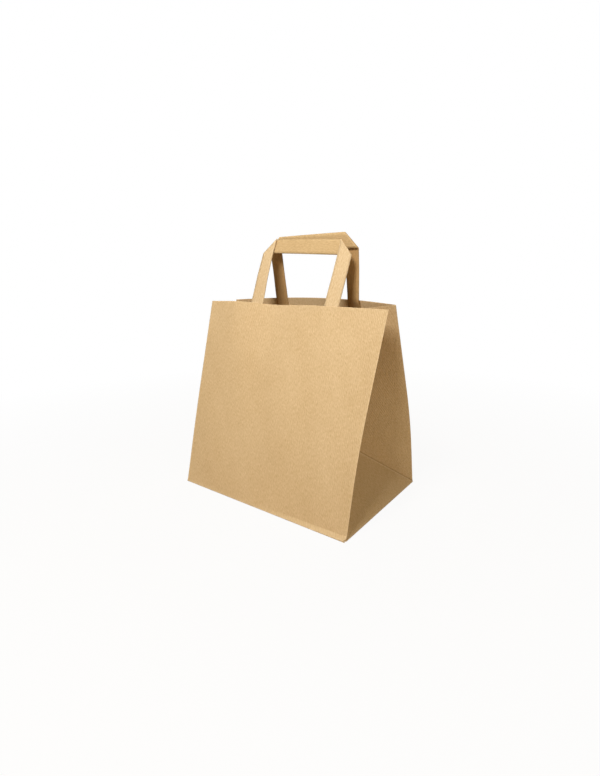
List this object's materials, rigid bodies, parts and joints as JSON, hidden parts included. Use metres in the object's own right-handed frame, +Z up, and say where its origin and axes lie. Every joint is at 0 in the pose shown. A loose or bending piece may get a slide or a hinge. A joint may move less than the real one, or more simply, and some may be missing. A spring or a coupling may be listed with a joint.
{
  "type": "handled paper bag",
  "caption": "Kraft paper carrier with a folded block bottom, side gussets folded inwards and flat paper handles glued inside the rim.",
  "frame": {"origin": "middle of the base, on the surface that the bag stands on", "axes": "+X along the wide panels to the side where the mouth is nearly closed, +Y towards the rear panel, +Z up"},
  "size_m": [0.2606, 0.1809, 0.3295],
  "materials": {
    "kraft_sheet": "uncoated brown kraft with fine upright fibre streaks",
    "kraft_handle": "uncoated brown kraft tape, fibres along the strip",
    "kraft_patch": "uncoated brown kraft"
  },
  "bodies": {
    "root": {"bag_body": "kraft_sheet", "front_handle": "kraft_handle", "rear_handle": "kraft_handle", "front_handle_patch": "kraft_patch", "rear_handle_patch": "kraft_patch"}
  },
  "joints": []
}
